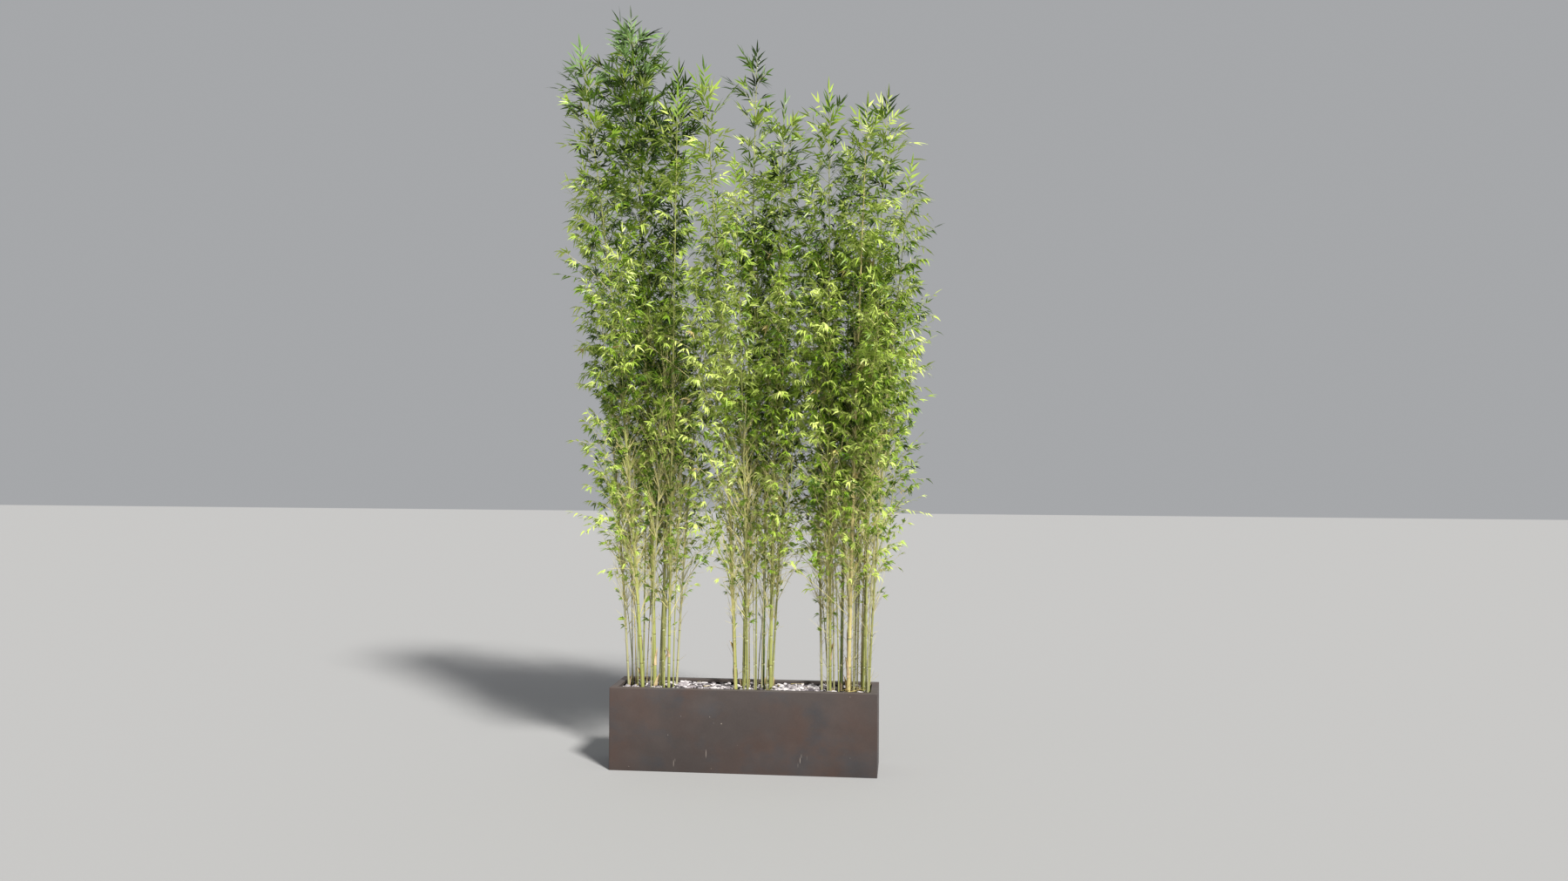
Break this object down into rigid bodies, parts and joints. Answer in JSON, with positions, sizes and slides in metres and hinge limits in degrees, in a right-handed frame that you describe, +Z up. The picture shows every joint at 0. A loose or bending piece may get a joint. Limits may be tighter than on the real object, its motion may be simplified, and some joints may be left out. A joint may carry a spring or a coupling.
{
  "type": "potted bamboo",
  "caption": "Stand of upright green bamboo in a long dark steel trough planter, with leafy spires above bare culms and a mulch of pale slate chips.",
  "frame": {"origin": "middle of the trough's flat underside, at ground level", "axes": "+Z up; +X along the trough's length; the long front face looks along -Y"},
  "size_m": [2.0045, 1.0493, 3.8295],
  "materials": {
    "patinated_steel": "matt",
    "potting_soil": "matt",
    "slate_chips": "matt",
    "culm": "satin",
    "leaf": "satin"
  },
  "bodies": {
    "root": {"trough": "patinated_steel", "soil": "potting_soil", "slate_mulch": "slate_chips", "culm_left_1": "culm", "culm_left_2": "culm", "culm_left_3": "culm", "culm_left_4": "culm", "culm_left_5": "culm", "culm_left_6": "culm", "culm_middle_1": "culm", "culm_middle_2": "culm", "culm_middle_3": "culm", "culm_middle_4": "culm", "culm_middle_5": "culm", "culm_middle_6": "culm", "culm_right_1": "culm", "culm_right_2": "culm", "culm_right_3": "culm", "culm_right_4": "culm", "culm_right_5": "culm", "culm_right_6": "culm", "foliage_left_1_top": "leaf", "foliage_left_2_top": "leaf", "foliage_left_3_top": "leaf", "foliage_left_4_top": "leaf", "foliage_left_5_top": "leaf", "foliage_left_6_top": "leaf", "foliage_middle_1_top": "leaf", "foliage_middle_2_top": "leaf", "foliage_middle_3_top": "leaf", "foliage_middle_4_top": "leaf", "foliage_middle_5_top": "leaf", "foliage_middle_6_top": "leaf", "foliage_right_1_top": "leaf", "foliage_right_2_top": "leaf", "foliage_right_3_top": "leaf", "foliage_right_4_top": "leaf", "foliage_right_5_top": "leaf", "foliage_right_6_top": "leaf", "foliage_left_1_low": "leaf", "foliage_left_2_low": "leaf", "foliage_left_3_low": "leaf", "foliage_middle_1_low": "leaf", "foliage_middle_2_low": "leaf", "foliage_middle_5_low": "leaf", "foliage_right_2_low": "leaf", "foliage_right_3_low": "leaf", "foliage_right_4_low": "leaf", "foliage_right_5_low": "leaf", "foliage_left_1_high": "leaf", "foliage_left_2_high": "leaf", "foliage_left_3_high": "leaf", "foliage_middle_1_high": "leaf", "foliage_middle_2_high": "leaf", "foliage_middle_5_high": "leaf", "foliage_right_2_high": "leaf", "foliage_right_3_high": "leaf", "foliage_right_4_high": "leaf", "foliage_right_5_high": "leaf"}
  },
  "joints": []
}
